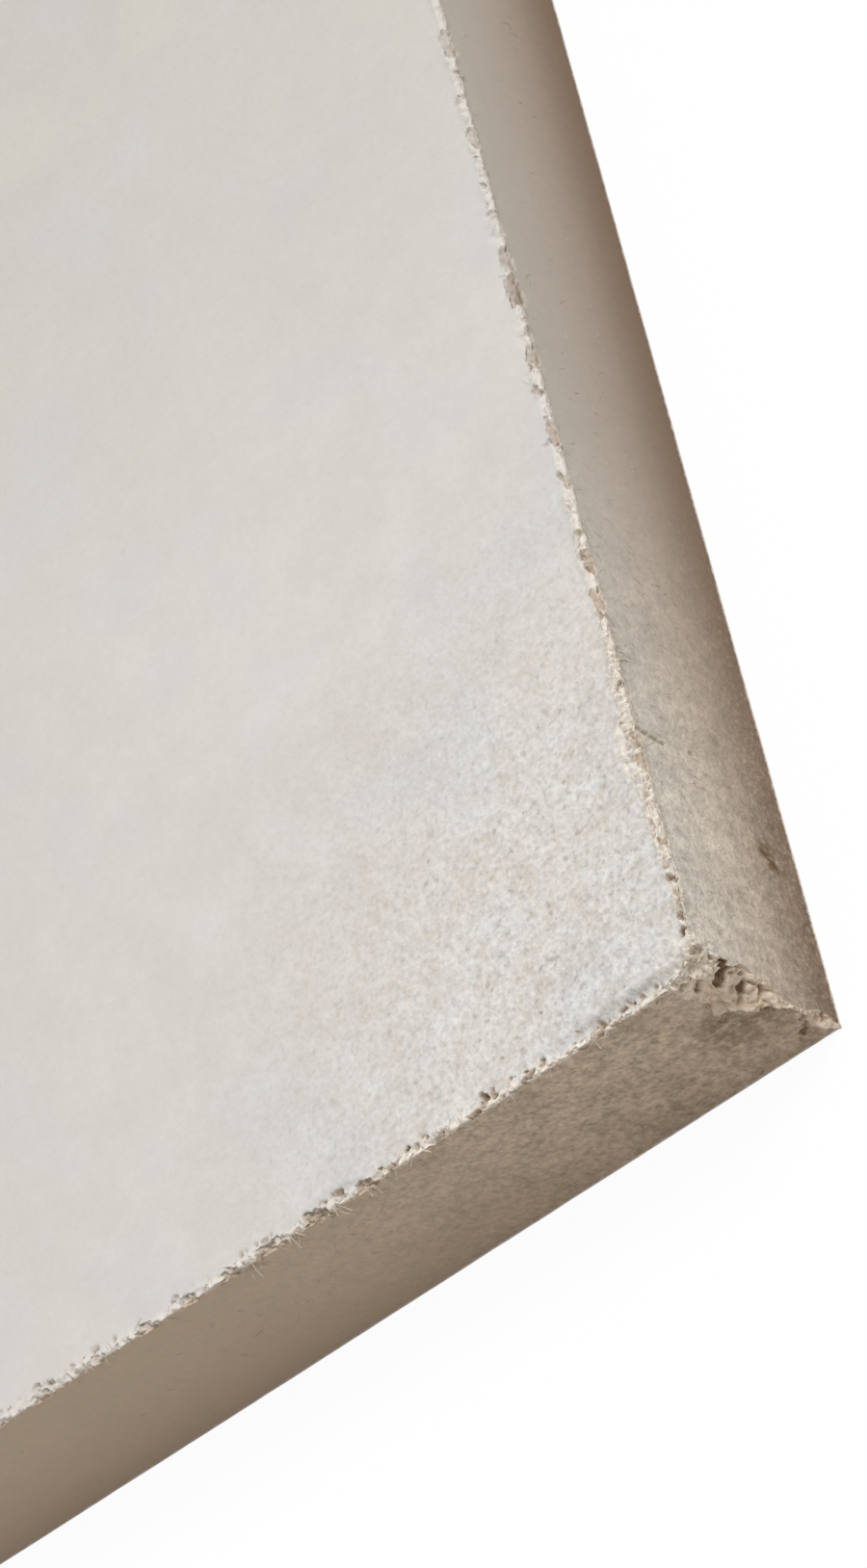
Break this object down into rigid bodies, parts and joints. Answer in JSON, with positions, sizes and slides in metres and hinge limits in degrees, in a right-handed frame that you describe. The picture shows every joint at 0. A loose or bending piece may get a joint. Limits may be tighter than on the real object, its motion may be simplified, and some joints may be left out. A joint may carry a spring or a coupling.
{
  "type": "fibre cement board",
  "caption": "Flat rectangular fibre cement sheet with square sawn edges and crumbled arrises, used as a backer, lining or cladding board.",
  "frame": {"origin": "middle of the back, which lies on the floor", "axes": "+X along the length, +Y across the width, +Z out of the face"},
  "size_m": [1.2, 0.8, 0.012],
  "materials": {
    "fibre_cement": "matte"
  },
  "bodies": {
    "root": {"board": "fibre_cement"}
  },
  "joints": []
}
